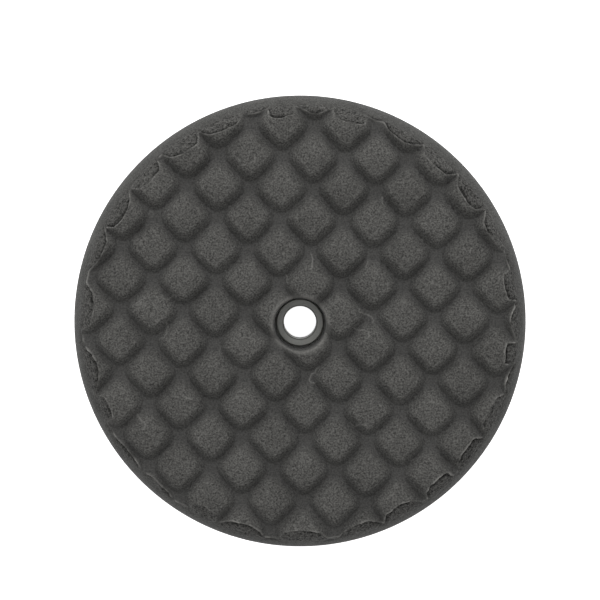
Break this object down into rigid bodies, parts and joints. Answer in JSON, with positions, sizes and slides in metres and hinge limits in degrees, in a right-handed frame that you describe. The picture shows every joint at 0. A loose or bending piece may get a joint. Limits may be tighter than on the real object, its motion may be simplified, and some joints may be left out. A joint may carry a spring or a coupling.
{
  "type": "double-sided foam polishing pad",
  "caption": "Round double-sided foam polishing pad with waffle working faces and a central quick-connect hub for a machine polisher's spindle adapter.",
  "frame": {"origin": "centre of the pad on the surface it rests on, level with the tops of the back face's blocks", "axes": "+Z along the bore axis, from the back face to the front face; +Y towards the top of the waffle as it is laid out on the front face"},
  "size_m": [0.2032, 0.2032, 0.05],
  "materials": {
    "foam": "matt open-cell polyurethane foam, moulded waffle skin on the face and cut cells on the rim",
    "hub_plastic": "satin moulded nylon, paler where posts rub the bore",
    "plate_plastic": "satin sheet",
    "rivet_metal": "satin, domed heads",
    "adhesive": "dried contact adhesive, slightly glossy"
  },
  "bodies": {
    "root": {"front_foam": "foam", "back_foam": "foam", "front_hub": "hub_plastic", "back_hub": "hub_plastic", "core_plate": "plate_plastic", "hub_rivets": "rivet_metal", "front_bond_film": "adhesive", "back_bond_film": "adhesive", "seam_bond_ring": "adhesive"}
  },
  "joints": []
}
